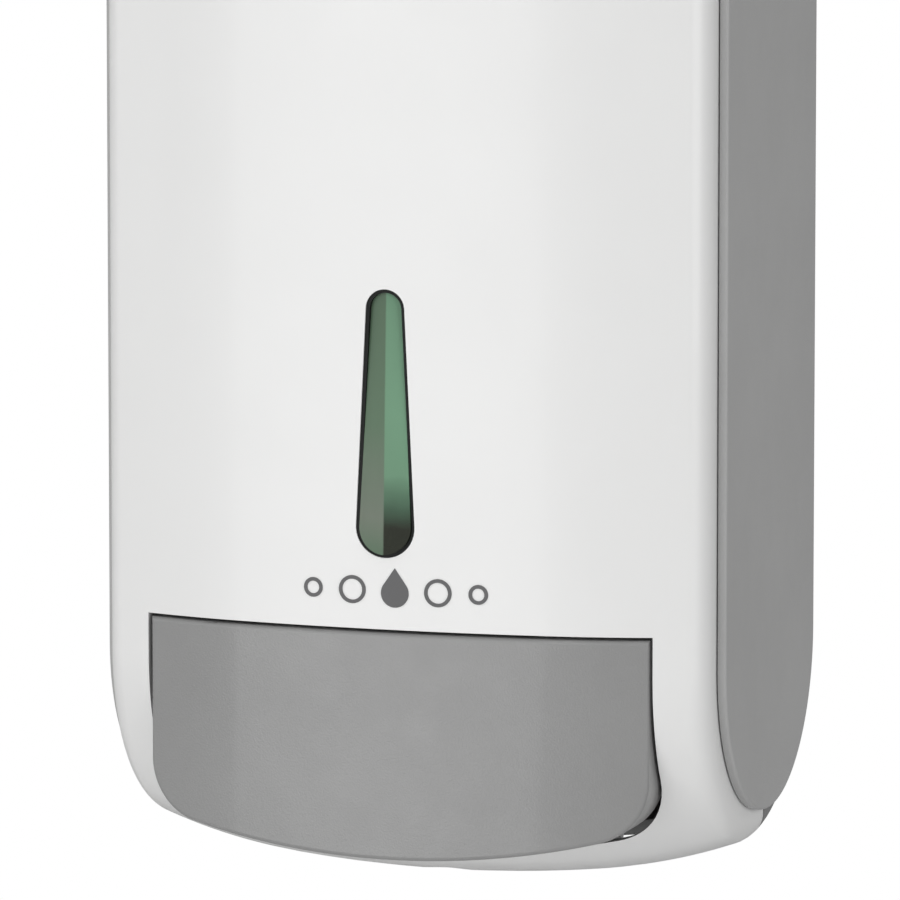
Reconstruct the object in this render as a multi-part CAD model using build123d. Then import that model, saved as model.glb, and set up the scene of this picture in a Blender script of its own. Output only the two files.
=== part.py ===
from build123d import *
from math import asin, cos, degrees, radians, sin, sqrt
import os

# Wall mounted soap dispenser with a push lever, built as separate pieces.
#
# Frame: millimetres, +X to the right seen from the front, +Y towards the wall, +Z up.
# The origin lies on the wall face, in the middle of the four wall screw holes.

# ---------------------------------------------------------------- driving dimensions
# cover and housing
COVER_WIDTH = 120.0          # the white cover, edge to edge
BODY_DEPTH = 62.0            # side cheek, front edge to rear edge
CHEEK_REAR_GAP = 1.0         # the cheek stops this far from the wall
BOTTOM_AXIS_Z = -77.5        # height of the centre of the round bottom
TOP_AXIS_Z = 78.5            # height of the centre of the round top edge
TOP_RADIUS = 24.25           # side view radius of the cover's top edge
COVER_STEP = 1.25            # the cover's edge lies this far outside the cheek's edge
CHEEK_THICK = 1.7
CHEEK_GAP = 0.3              # between the cover's edge and the cheek
CHEEK_EDGE_RADIUS = 0.6
COVER_WALL = 2.2
COVER_FLANGE = 4.0           # the cover's edge runs this far behind its own edge line
BOTTOM_WRAP = 96.0           # degrees from the front face round to the cover's rear edge

# curve of the front face, seen from above
FACE_CENTRE_HALF = 30.0      # half width of the flatter middle arc
FACE_CENTRE_RADIUS = 266.0
FACE_SIDE_RADIUS = 116.0
FACE_EDGE_STEP = 5.3         # height of the turned edge before the corner rounding
FACE_CORNER_RADIUS = 5.5

# rear housing
BACK_THICK = 3.0
HOUSING_WALL = 2.5
HOUSING_FLANGE_DEPTH = 22.0
SWING_GAP = 1.5              # room left for the cover's rear edge as it swings
WALL_HOLE_SPACING_X = 70.0
WALL_HOLE_SPACING_Z = 80.0
WALL_HOLE_RADIUS = 2.5
WALL_BOSS_RADIUS = 7.0
WALL_BOSS_HEIGHT = 1.5

# push lever
LEVER_HALF_WIDTH = 49.7
LEVER_TOP_Z = -70.3
LEVER_BOTTOM_Z = -114.1
LEVER_BOTTOM_RADIUS = 174.0
LEVER_CORNER_RADIUS = 12.0
LEVER_WALL = 2.2
LEVER_BACK_Y = -62.0
LEVER_PIVOT_Y = -66.0
LEVER_PIVOT_Z = -74.0
LEVER_PIN_RADIUS = 1.5
OPENING_GAP = 0.7            # between lever and cover at the top and the sides
OPENING_GAP_LOW = 2.0        # below the lever, which drops a little as it is pushed

# sight window
WINDOW_TOP_Z = -5.3
WINDOW_BOTTOM_Z = -55.2
WINDOW_TOP_RADIUS = 3.15
WINDOW_BOTTOM_RADIUS = 5.15
WINDOW_X = -0.75             # the window stands a little left of the middle
PRINT_X = 1.2                # and the printed sign a little right of it
WINDOW_RIM = 0.7
WINDOW_GAP = 0.1

# cover hinge
HINGE_SETBACK = 3.25         # the hinge lies this far behind the round bottom's axis
HINGE_DROP = 7.0             # and this far below the bottom of the cover's edge line
HINGE_PIN_RADIUS = 1.5
HINGE_KNUCKLE_RADIUS = 3.6
HINGE_X = 25.0               # middle of each hinge
HINGE_ARM_WIDTH = 5.0
HINGE_EAR_WIDTH = 4.0
PIN_FIT = 0.06               # radial clearance of a turning pin
SIDE_FIT = 0.4               # side clearance of a turning piece

# reservoir and pump
PUMP_Y = -42.0
TANK_HALF_WIDTH = 52.0
TANK_REAR_Y = -5.0
TANK_FRONT_Y = -66.0
TANK_BOTTOM_Z = -52.0
TANK_TOP_Z = 80.0
TANK_WALL = 1.6
TANK_CORNER_RADIUS = 5.0
MOUTH_HALF_WIDTH = 38.0
MOUTH_DEPTH = 40.0
NECK_RADIUS = 15.0
NECK_WALL = 2.0
NECK_LENGTH = 11.0
CHAMBER_RADIUS = 8.0
CHAMBER_LENGTH = 28.0
STEM_RADIUS = 4.0
STEM_BORE = 1.8
PLUNGER_STROKE = 5.45
SPRING_WIRE = 1.0
SPRING_RADIUS = 6.4
SPRING_TURNS = 7
BALL_RADIUS = 2.4
BALL_LIFT = 1.2

# lock
LOCK_Y = -40.0
LOCK_RADIUS = 5.0
LOCK_LENGTH = 20.0
CAM_REACH = 12.0
CAM_WIDTH = 6.0
CAM_THICK = 2.0

# ---------------------------------------------------------------- derived dimensions
HALF = COVER_WIDTH / 2
CHEEK_FRONT_Y = -(CHEEK_REAR_GAP + BODY_DEPTH)
EDGE_Y = CHEEK_FRONT_Y - COVER_STEP
BOTTOM_RADIUS = BODY_DEPTH / 2
CHEEK_AXIS_Y = CHEEK_FRONT_Y + BOTTOM_RADIUS
BOTTOM_AXIS_Y = EDGE_Y + BOTTOM_RADIUS
HINGE_Y = BOTTOM_AXIS_Y + HINGE_SETBACK
HINGE_Z = BOTTOM_AXIS_Z - BOTTOM_RADIUS - HINGE_DROP
TOP_AXIS_Y = EDGE_Y + TOP_RADIUS
TOP_EDGE_Z = TOP_AXIS_Z + TOP_RADIUS
CHEEK_IN_X = HALF + CHEEK_GAP
CHEEK_OUT_X = CHEEK_IN_X + CHEEK_THICK


def face_bulge(x, inset=0.0):
    """Height of the front face over its edge line at x, without the corner rounding."""
    centre_b = bulge_centre_line() - FACE_CENTRE_RADIUS
    if abs(x) <= FACE_CENTRE_HALF:
        return centre_b + sqrt((FACE_CENTRE_RADIUS - inset) ** 2 - x * x)
    side_x, side_b = side_arc_centre()
    return side_b + sqrt((FACE_SIDE_RADIUS - inset) ** 2 - (abs(x) - side_x) ** 2)


def side_arc_centre():
    """Centre of the right side arc: it meets the middle arc with the same tangent."""
    turn = asin(FACE_CENTRE_HALF / FACE_CENTRE_RADIUS)
    centre_b = bulge_centre_line() - FACE_CENTRE_RADIUS
    reach = FACE_CENTRE_RADIUS - FACE_SIDE_RADIUS
    return reach * sin(turn), centre_b + reach * cos(turn)


def bulge_centre_line():
    """Height of the middle of the front face over its edge line."""
    turn = asin(FACE_CENTRE_HALF / FACE_CENTRE_RADIUS)
    middle_drop = FACE_CENTRE_RADIUS * (1 - cos(turn))
    side_x = (FACE_CENTRE_RADIUS - FACE_SIDE_RADIUS) * sin(turn)
    end_turn = asin((HALF - side_x) / FACE_SIDE_RADIUS)
    side_drop = FACE_SIDE_RADIUS * (cos(turn) - cos(end_turn))
    return FACE_EDGE_STEP + middle_drop + side_drop


BULGE = bulge_centre_line()
FRONT_Y = EDGE_Y - BULGE


# ---------------------------------------------------------------- helpers
def box(x0, x1, y0, y1, z0, z1):
    """A box between two corners."""
    size = Box(x1 - x0, y1 - y0, z1 - z0)
    return Pos((x0 + x1) / 2, (y0 + y1) / 2, (z0 + z1) / 2) * size


def rod_z(x, y, z0, z1, radius):
    """A cylinder along Z."""
    return Pos(x, y, (z0 + z1) / 2) * Cylinder(radius, z1 - z0)


def rod_x(x0, x1, y, z, radius):
    """A cylinder along X."""
    return Pos((x0 + x1) / 2, y, z) * Rot(0, 90, 0) * Cylinder(radius, x1 - x0)


def rod_y(x, y0, y1, z, radius):
    """A cylinder along Y."""
    return Pos(x, (y0 + y1) / 2, z) * Rot(90, 0, 0) * Cylinder(radius, y1 - y0)


def tube_z(x, y, z0, z1, outer, inner):
    """A tube along Z."""
    return rod_z(x, y, z0, z1, outer) - rod_z(x, y, z0 - 1, z1 + 1, inner)


def face_section(inset, base):
    """Flat section of the cover: x across, height of the face upwards, closed at base."""
    half = HALF - inset
    edge = face_bulge(half, inset)
    knee = FACE_CENTRE_HALF * (FACE_CENTRE_RADIUS - inset) / FACE_CENTRE_RADIUS
    knee_b = face_bulge(knee * 0.9999, inset)
    side_mid = (knee + half) / 2
    left = (-half, edge)
    right = (half, edge)
    outline = [
        Polyline([(-half, edge), (-half, base), (half, base), (half, edge)]),
        ThreePointArc(right, (side_mid, face_bulge(side_mid, inset)), (knee, knee_b)),
        ThreePointArc((knee, knee_b), (0, BULGE - inset), (-knee, knee_b)),
        ThreePointArc((-knee, knee_b), (-side_mid, face_bulge(side_mid, inset)), left),
    ]
    face = make_face(Curve() + outline)
    corners = [v for v in face.vertices() if abs(abs(v.X) - half) < 0.01 and v.Y > base + 0.01]
    return fillet(corners, FACE_CORNER_RADIUS - inset)


FRONT_PLANE = Plane(origin=(0, EDGE_Y, TOP_AXIS_Z), x_dir=(1, 0, 0), z_dir=(0, 0, -1))
ROOF_PLANE = Plane(origin=(0, TOP_AXIS_Y, TOP_EDGE_Z), x_dir=(1, 0, 0), z_dir=(0, -1, 0))
BOTTOM_AXIS = Axis((0, BOTTOM_AXIS_Y, BOTTOM_AXIS_Z), (1, 0, 0))
TOP_AXIS = Axis((0, TOP_AXIS_Y, TOP_AXIS_Z), (1, 0, 0))


def wrapped(section, wrap=BOTTOM_WRAP, roof_end=-0.6):
    """Sweep a section of the face over the roof, down the front and round the bottom."""
    front = FRONT_PLANE * section
    body = extrude(front, TOP_AXIS_Z - BOTTOM_AXIS_Z, dir=(0, 0, -1))
    body += revolve(front, TOP_AXIS, -90)
    body += extrude(ROOF_PLANE * section, roof_end - TOP_AXIS_Y, dir=(0, 1, 0))
    low = Pos(0, 0, BOTTOM_AXIS_Z - TOP_AXIS_Z) * front
    return body + revolve(low, BOTTOM_AXIS, wrap)


def front_column(inset, base, z0, z1):
    """Upright column with the section of the front face, from base out to the face."""
    column = extrude(FRONT_PLANE * face_section(inset, base), z1 - z0, dir=(0, 0, -1))
    return Pos(0, 0, z1 - TOP_AXIS_Z) * column


def lever_outline(grow, grow_low):
    """Front view of the lever: straight top and sides, bowed bottom, round corners."""
    half = LEVER_HALF_WIDTH + grow
    top = LEVER_TOP_Z + grow
    radius = LEVER_BOTTOM_RADIUS + grow_low
    centre = LEVER_BOTTOM_Z + LEVER_BOTTOM_RADIUS
    side_z = centre - sqrt(radius ** 2 - half ** 2)
    face = make_face(Curve() + [
        Polyline([(-half, side_z), (-half, top), (half, top), (half, side_z)]),
        ThreePointArc((half, side_z), (0, centre - radius), (-half, side_z)),
    ])
    low = [v for v in face.vertices() if v.Y < top - 1]
    return fillet(low, LEVER_CORNER_RADIUS + grow_low)


def window_outline(grow):
    """Front view of the sight window: a tapered slot with round ends."""
    top_r = WINDOW_TOP_RADIUS + grow
    low_r = WINDOW_BOTTOM_RADIUS + grow
    top_c = WINDOW_TOP_Z - WINDOW_TOP_RADIUS
    low_c = WINDOW_BOTTOM_Z + WINDOW_BOTTOM_RADIUS
    lean = asin((low_r - top_r) / (top_c - low_c))
    top_p = (top_r * cos(lean), top_c + top_r * sin(lean))
    low_p = (low_r * cos(lean), low_c + low_r * sin(lean))
    return Pos(WINDOW_X, 0) * make_face(Curve() + [
        ThreePointArc((-top_p[0], top_p[1]), (0, top_c + top_r), top_p),
        Line(top_p, low_p),
        ThreePointArc(low_p, (0, low_c - low_r), (-low_p[0], low_p[1])),
        Line((-low_p[0], low_p[1]), (-top_p[0], top_p[1])),
    ])


def along_y(outline, y0, y1):
    """Push a front view outline from y0 to y1."""
    plane = Plane(origin=(0, y0, 0), x_dir=(1, 0, 0), z_dir=(0, -1, 0))
    return extrude(plane * outline, y1 - y0, dir=(0, 1, 0))


def screw(radius, length, head_radius, head_height):
    """Pan head screw with a cross slot, head upwards, shank below the origin."""
    head = Pos(0, 0, head_height / 2) * Cylinder(head_radius, head_height)
    head = fillet(head.edges().sort_by(Axis.Z)[-1], head_height * 0.45)
    slot = head_radius * 1.1
    cross = Box(slot, head_radius * 0.28, head_height) + Box(head_radius * 0.28, slot, head_height)
    head -= Pos(0, 0, head_height * 1.1) * cross
    return head + Pos(0, 0, -length / 2) * Cylinder(radius, length)


# ---------------------------------------------------------------- rear housing
CHEEK_SCREW_Z = (-60.0, 10.0, 80.0)
CHEEK_SCREW_Y = -12.0
CHEEK_BOSS_RADIUS = 2.7
SCREW_RADIUS = 1.3
BRACKET_X = 44.0
BRACKET_TOP_Z = TANK_BOTTOM_Z
BRACKET_THICK = 3.0
BRACKET_SCREW_Z = BRACKET_TOP_Z - 12.0
KEEPER_Z = TANK_TOP_Z + 9.0
KEEPER_SCREW_X = 12.0
KEEPER_SCREW_Z = KEEPER_Z + 5.2
HOUSING_TOP_Z = TOP_EDGE_Z - COVER_FLANGE - 1.0


def swing_room():
    """Room round the cover hinge that the cover's rear edge swings through."""
    below = BOTTOM_RADIUS + BULGE - (BOTTOM_AXIS_Z - HINGE_Z)
    front = BOTTOM_AXIS_Y - 30
    deep = HINGE_Y + below + SWING_GAP + 4.0
    side_x = HALF - 14.0
    room = box(-side_x, side_x, front, deep, HINGE_Z - 20, HINGE_Z + 9)
    step_x = HALF - 5.0
    return room + box(-step_x, step_x, front, HINGE_Y + 8.0, HINGE_Z - 20, HINGE_Z + 9)


def rear_housing():
    """Back plate, side flanges, rounded rear of the bottom, hinge arms and screw bosses."""
    plate = box(-CHEEK_IN_X, CHEEK_IN_X, -BACK_THICK, 0, BOTTOM_AXIS_Z, HOUSING_TOP_Z)
    for side in (-1, 1):
        outer = side * CHEEK_IN_X
        inner = side * (CHEEK_IN_X - HOUSING_WALL)
        plate += box(min(outer, inner), max(outer, inner), -HOUSING_FLANGE_DEPTH, 0,
                     BOTTOM_AXIS_Z, HOUSING_TOP_Z)
    wall_side = box(-HALF - 20, HALF + 20, -200, 0, -300, 300)
    full = revolve(FRONT_PLANE * face_section(0, -BOTTOM_RADIUS), Axis(
        (0, BOTTOM_AXIS_Y, TOP_AXIS_Z), (1, 0, 0)), 180 - BOTTOM_WRAP)
    turned = full.rotate(Axis((0, BOTTOM_AXIS_Y, TOP_AXIS_Z), (1, 0, 0)), BOTTOM_WRAP + 0.8)
    outer = Pos(0, 0, BOTTOM_AXIS_Z - TOP_AXIS_Z) * turned
    hollow = revolve(FRONT_PLANE * face_section(HOUSING_WALL, -BOTTOM_RADIUS), Axis(
        (0, BOTTOM_AXIS_Y, TOP_AXIS_Z), (1, 0, 0)), 200)
    hollow = Pos(0, 0, BOTTOM_AXIS_Z - TOP_AXIS_Z) * hollow
    hollow &= box(-HALF, HALF, -200, -BACK_THICK, -300, 300)
    bottom = (outer & wall_side) - hollow - swing_room()
    bottom &= box(-HALF - 20, HALF + 20, -200, 0, -300, BOTTOM_AXIS_Z)
    body = plate + bottom
    round_end = revolve(FRONT_PLANE * face_section(0.3, -BOTTOM_RADIUS), Axis(
        (0, BOTTOM_AXIS_Y, TOP_AXIS_Z), (1, 0, 0)), 200)
    body += hinge_arms() & (Pos(0, 0, BOTTOM_AXIS_Z - TOP_AXIS_Z) * round_end) & wall_side
    for x in (-WALL_HOLE_SPACING_X / 2, WALL_HOLE_SPACING_X / 2):
        for z in (-WALL_HOLE_SPACING_Z / 2, WALL_HOLE_SPACING_Z / 2):
            body += rod_y(x, -BACK_THICK - WALL_BOSS_HEIGHT, -BACK_THICK, z, WALL_BOSS_RADIUS)
            body -= rod_y(x, -20, 5, z, WALL_HOLE_RADIUS)
    for x in (-CHEEK_IN_X, CHEEK_IN_X):
        for z in CHEEK_SCREW_Z:
            body -= rod_x(x - 5, x + 5, CHEEK_SCREW_Y, z, CHEEK_BOSS_RADIUS + 0.2)
    for x in (-BRACKET_X, BRACKET_X):
        body -= rod_y(x, -BACK_THICK - 1, -0.6, BRACKET_SCREW_Z, SCREW_RADIUS)
    for x in (-KEEPER_SCREW_X, KEEPER_SCREW_X):
        body -= rod_y(x, -BACK_THICK - 1, -0.6, KEEPER_SCREW_Z, SCREW_RADIUS)
    return body


def hinge_arms():
    """Two arms from the back plate that hold the cover's hinge pins."""
    arms = None
    for x in (-HINGE_X, HINGE_X):
        left = x - HINGE_ARM_WIDTH / 2
        right = x + HINGE_ARM_WIDTH / 2
        arm = box(left, right, HINGE_Y, 0, HINGE_Z + 0.5, HINGE_Z + HINGE_KNUCKLE_RADIUS)
        arm += box(left, right, -BACK_THICK - 12, 0, HINGE_Z + 0.5, BOTTOM_AXIS_Z)
        arm += rod_x(left, right, HINGE_Y, HINGE_Z, HINGE_KNUCKLE_RADIUS)
        arm -= rod_x(left - 1, right + 1, HINGE_Y, HINGE_Z, HINGE_PIN_RADIUS)
        arms = arm if arms is None else arms + arm
    return arms


def cheek(side):
    """Side cheek: a flat panel with a half round bottom and blind screw bosses inside."""
    top_radius = TOP_RADIUS - COVER_STEP
    low_radius = BOTTOM_RADIUS
    rear = -CHEEK_REAR_GAP
    top = TOP_EDGE_Z - COVER_STEP
    outline = make_face(Curve() + [
        Line((rear, BOTTOM_AXIS_Z), (rear, top)),
        Line((rear, top), (CHEEK_FRONT_Y + top_radius, top)),
        RadiusArc((CHEEK_FRONT_Y + top_radius, top), (CHEEK_FRONT_Y, top - top_radius),
                  -top_radius),
        Line((CHEEK_FRONT_Y, top - top_radius), (CHEEK_FRONT_Y, BOTTOM_AXIS_Z)),
        ThreePointArc((CHEEK_FRONT_Y, BOTTOM_AXIS_Z),
                      (CHEEK_AXIS_Y, BOTTOM_AXIS_Z - low_radius), (rear, BOTTOM_AXIS_Z)),
    ])
    start = CHEEK_IN_X if side > 0 else -CHEEK_IN_X
    plane = Plane(origin=(start, 0, 0), x_dir=(0, 1, 0), z_dir=(1, 0, 0))
    panel = extrude(plane * outline, side * CHEEK_THICK)
    rim = [e for e in panel.edges() if abs(abs(e.center().X) - CHEEK_OUT_X) < 0.01]
    panel = fillet(rim, CHEEK_EDGE_RADIUS)
    for z in CHEEK_SCREW_Z:
        inner = start - side * (HOUSING_WALL - 0.1)
        panel += rod_x(min(inner, start), max(inner, start), CHEEK_SCREW_Y, z, CHEEK_BOSS_RADIUS)
        hole_end = start + side * CHEEK_THICK * 0.5
        panel -= rod_x(min(inner, hole_end) - (side > 0), max(inner, hole_end) + (side < 0),
                       CHEEK_SCREW_Y, z, SCREW_RADIUS)
    return panel


def cheek_screws():
    """Three screws on each side, from inside the housing into the cheeks."""
    group = []
    length = HOUSING_WALL + CHEEK_THICK * 0.5
    for side in (-1, 1):
        for z in CHEEK_SCREW_Z:
            one = screw(SCREW_RADIUS, length, 4.0, 1.8)
            place = Pos(side * (CHEEK_IN_X - HOUSING_WALL), CHEEK_SCREW_Y, z)
            group.append(place * Rot(0, -90 * side, 0) * one)
    return Compound(children=group)


# ---------------------------------------------------------------- front cover
BOSS_IN_X = LEVER_HALF_WIDTH + OPENING_GAP + 0.4
BOSS_OUT_X = HALF - 3.6
WINDOW_SEAT = 1.6
SPOUT_HOLE_RADIUS = 5.0
ROOF_BOSS_RADIUS = LOCK_RADIUS + 3.0


def hinge_slots():
    """Slots in the cover's rear edge that the two housing arms pass through."""
    slots = None
    for x in (-HINGE_X, HINGE_X):
        reach = HINGE_ARM_WIDTH / 2 + SIDE_FIT + 0.6
        slot = box(x - reach, x + reach, HINGE_Y - 9, HINGE_Y + 10, HINGE_Z - 30, HINGE_Z + 6)
        slots = slot if slots is None else slots + slot
    return slots


def hinge_ears():
    """Two ears on each side of both arms, standing on the cover's bottom."""
    ears = None
    for x in (-HINGE_X, HINGE_X):
        for side in (-1, 1):
            near = x + side * (HINGE_ARM_WIDTH / 2 + SIDE_FIT)
            far = near + side * HINGE_EAR_WIDTH
            left = min(near, far)
            right = max(near, far)
            ear = rod_x(left, right, HINGE_Y, HINGE_Z, HINGE_KNUCKLE_RADIUS)
            ear += box(left, right, HINGE_Y - 10, HINGE_Y, HINGE_Z - 8, HINGE_Z)
            ear += box(left, right, HINGE_Y - 10, HINGE_Y - HINGE_KNUCKLE_RADIUS, HINGE_Z - 8,
                       HINGE_Z + 2)
            ears = ear if ears is None else ears + ear
    return ears


def front_cover():
    """White shell: roof, front and round bottom, with the openings and inner bosses."""
    shell = wrapped(face_section(0, -COVER_FLANGE) - face_section(COVER_WALL, -50))
    solid = wrapped(face_section(0, -BOTTOM_RADIUS / 2))
    inside = hinge_ears() & solid
    for side in (-1, 1):
        left = min(side * BOSS_IN_X, side * BOSS_OUT_X)
        right = max(side * BOSS_IN_X, side * BOSS_OUT_X)
        boss = rod_x(left, right, LEVER_PIVOT_Y, LEVER_PIVOT_Z, 3.4)
        boss += box(left, right, FRONT_Y, LEVER_PIVOT_Y, LEVER_PIVOT_Z - 2, LEVER_PIVOT_Z + 2)
        inside += boss & solid
    seat = along_y(window_outline(WINDOW_SEAT + 1.4), FRONT_Y, FRONT_Y + COVER_WALL + 2.6)
    inside += seat & solid
    inside += rod_z(0, LOCK_Y, TOP_EDGE_Z + BULGE - 9, TOP_EDGE_Z + BULGE - 1, ROOF_BOSS_RADIUS)
    cover = shell + inside
    cover -= along_y(lever_outline(OPENING_GAP, OPENING_GAP_LOW), FRONT_Y - 5, LEVER_PIVOT_Y + 18)
    cover -= along_y(window_outline(WINDOW_RIM), FRONT_Y - 5, FRONT_Y + 12)
    cover -= along_y(window_outline(WINDOW_SEAT), FRONT_Y + COVER_WALL, FRONT_Y + 12)
    cover -= rod_z(0, PUMP_Y, HINGE_Z - 30, HINGE_Z + 2, SPOUT_HOLE_RADIUS)
    cover -= hinge_slots()
    for side in (-1, 1):
        cover -= rod_x(*sorted((side * BOSS_IN_X - side, side * (BOSS_OUT_X - 1.5))),
                       LEVER_PIVOT_Y, LEVER_PIVOT_Z, LEVER_PIN_RADIUS)
    for x in (-HINGE_X, HINGE_X):
        reach = HINGE_ARM_WIDTH / 2 + SIDE_FIT + HINGE_EAR_WIDTH + 1
        cover -= rod_x(x - reach, x + reach, HINGE_Y, HINGE_Z, HINGE_PIN_RADIUS + PIN_FIT)
    cover -= rod_z(0, LOCK_Y, 60, 200, LOCK_RADIUS + 2.0)
    return cover


def cover_hinge_pins():
    """Steel pins, tight in the housing arms and free in the cover's ears."""
    reach = HINGE_ARM_WIDTH / 2 + SIDE_FIT + HINGE_EAR_WIDTH - 0.3
    pins = [rod_x(x - reach, x + reach, HINGE_Y, HINGE_Z, HINGE_PIN_RADIUS)
            for x in (-HINGE_X, HINGE_X)]
    return Compound(children=pins)


def window_gasket():
    """Dark rubber rim between the cover and the lens."""
    ring = along_y(window_outline(WINDOW_RIM), FRONT_Y + 0.4, FRONT_Y + COVER_WALL)
    return ring - along_y(window_outline(0), FRONT_Y - 5, FRONT_Y + 10)


def window_lens():
    """Clear lens: two facets that meet in an upright ridge, prouder at the bottom."""
    top_y = FRONT_Y + 0.9
    low_y = FRONT_Y - 1.2
    side_drop = 1.1
    reach = WINDOW_BOTTOM_RADIUS + 1
    back = FRONT_Y + COVER_WALL
    ends = []
    for y, z in ((top_y, WINDOW_TOP_Z + 1), (low_y, WINDOW_BOTTOM_Z - 1)):
        plane = Plane(origin=(WINDOW_X, 0, z), x_dir=(1, 0, 0), z_dir=(0, 0, 1))
        corners = [(-reach, back), (-reach, y + side_drop), (0, y), (reach, y + side_drop),
                   (reach, back)]
        ends.append(plane * make_face(Polyline(corners, close=True)))
    wedge = loft(ends, ruled=True)
    lens = wedge & along_y(window_outline(-0.05), FRONT_Y - 5, back)
    return lens + along_y(window_outline(WINDOW_SEAT - 0.1), back, back + 1.2)


def window_retainer():
    """Frame pressed in behind the lens that holds it in its seat."""
    back = FRONT_Y + COVER_WALL + 1.2
    ring = along_y(window_outline(WINDOW_SEAT), back, back + 1.3)
    return ring - along_y(window_outline(-1.0), back - 1, back + 3)


def soap_pictogram():
    """Printed sign over the lever: a row of drops and rings in place of any words."""
    middle_z = (WINDOW_BOTTOM_Z + LEVER_TOP_Z) / 2 + 1.0
    shapes = []
    for x, size in ((-16.4, 1.9), (-8.5, 2.7), (8.5, 2.7), (16.4, 1.9)):
        ring = Pos(x, middle_z - 0.4) * Circle(size)
        shapes.append(ring - Pos(x, middle_z - 0.4) * Circle(size - 0.7))
    drop_r = 2.75
    centre = middle_z - 0.8
    lean = radians(35)
    touch = (drop_r * cos(lean), centre + drop_r * sin(lean))
    tip = (0, centre + drop_r / sin(lean))
    shapes.append(make_face(Curve() + [
        Line(tip, touch),
        ThreePointArc(touch, (0, centre - drop_r), (-touch[0], touch[1])),
        Line((-touch[0], touch[1]), tip),
    ]))
    skin = front_column(-0.12, -1, WINDOW_BOTTOM_Z - 20, WINDOW_BOTTOM_Z)
    skin -= front_column(0, -3, WINDOW_BOTTOM_Z - 22, WINDOW_BOTTOM_Z + 2)
    marks = []
    for shape in shapes:
        mark = along_y(Pos(PRINT_X, 0) * shape, FRONT_Y - 2, FRONT_Y + 8) & skin
        marks.extend(mark.solids())
    return Compound(children=marks)


def lock_housing():
    """Flanged sleeve of the lock in the roof of the cover."""
    top = TOP_EDGE_Z + BULGE
    sleeve = rod_z(0, LOCK_Y, top - 14, top, LOCK_RADIUS + 2.0)
    sleeve += rod_z(0, LOCK_Y, top, top + 0.9, LOCK_RADIUS + 3.2)
    return sleeve - rod_z(0, LOCK_Y, top - 20, top + 5, LOCK_RADIUS + PIN_FIT)


def lock_nut():
    """Hexagon nut that holds the lock sleeve from below."""
    top = TOP_EDGE_Z + BULGE - 9
    flat = extrude(RegularPolygon(LOCK_RADIUS + 5.0, 6), 3.0)
    nut = Pos(0, LOCK_Y, top - 3.0) * flat
    return nut - rod_z(0, LOCK_Y, top - 5, top + 2, LOCK_RADIUS + 2.0)


def lock_barrel():
    """Turning barrel with a key slot on top and a square end for the cam."""
    top = TOP_EDGE_Z + BULGE + 0.6
    low = top - 0.6 - 14.0
    barrel = rod_z(0, LOCK_Y, low - 0.3, top, LOCK_RADIUS)
    barrel += box(-2, 2, LOCK_Y - 2, LOCK_Y + 2, low - 0.3 - CAM_THICK, low - 0.3)
    barrel -= box(-0.6, 0.6, LOCK_Y - 3.2, LOCK_Y + 3.2, top - 6, top + 1)
    return barrel - rod_z(0, LOCK_Y, low - 10, low + 4, 1.0)


CAM_TOP_Z = TOP_EDGE_Z + BULGE - 14.3


def lock_cam():
    """Tongue on the end of the barrel; its tip lies behind the keeper's post."""
    cam = box(-CAM_WIDTH / 2, CAM_REACH, LOCK_Y - CAM_WIDTH / 2, LOCK_Y + CAM_WIDTH / 2,
              CAM_TOP_Z - CAM_THICK, CAM_TOP_Z)
    return cam - box(-2, 2, LOCK_Y - 2, LOCK_Y + 2, 0, 200)


def cam_screw():
    """Screw that holds the cam on the barrel."""
    one = screw(1.0, 5.0, 3.6, 1.8)
    return Pos(0, LOCK_Y, CAM_TOP_Z - CAM_THICK) * Rot(180, 0, 0) * one


def lever_pins():
    """Two steel pins, tight in the cover and free in the lever."""
    pins = []
    for side in (-1, 1):
        near = side * (LEVER_HALF_WIDTH - LEVER_WALL - 2.4)
        far = side * (BOSS_OUT_X - 1.5)
        pins.append(rod_x(min(near, far), max(near, far), LEVER_PIVOT_Y, LEVER_PIVOT_Z,
                          LEVER_PIN_RADIUS))
    return Compound(children=pins)


# ---------------------------------------------------------------- push lever
FORK_PIVOT_DROP = -21.3      # height of the fork's contact point from the lever pivot
FORK_TIP_RADIUS = 3.0
PRONG_IN_X = 6.2
PRONG_OUT_X = 9.8
FORK_BASE_Y = -64.0
PLUNGER_FLANGE_Z = LEVER_PIVOT_Z + FORK_PIVOT_DROP + FORK_TIP_RADIUS + 0.3
FORK_SCREW_X = 16.0


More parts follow.
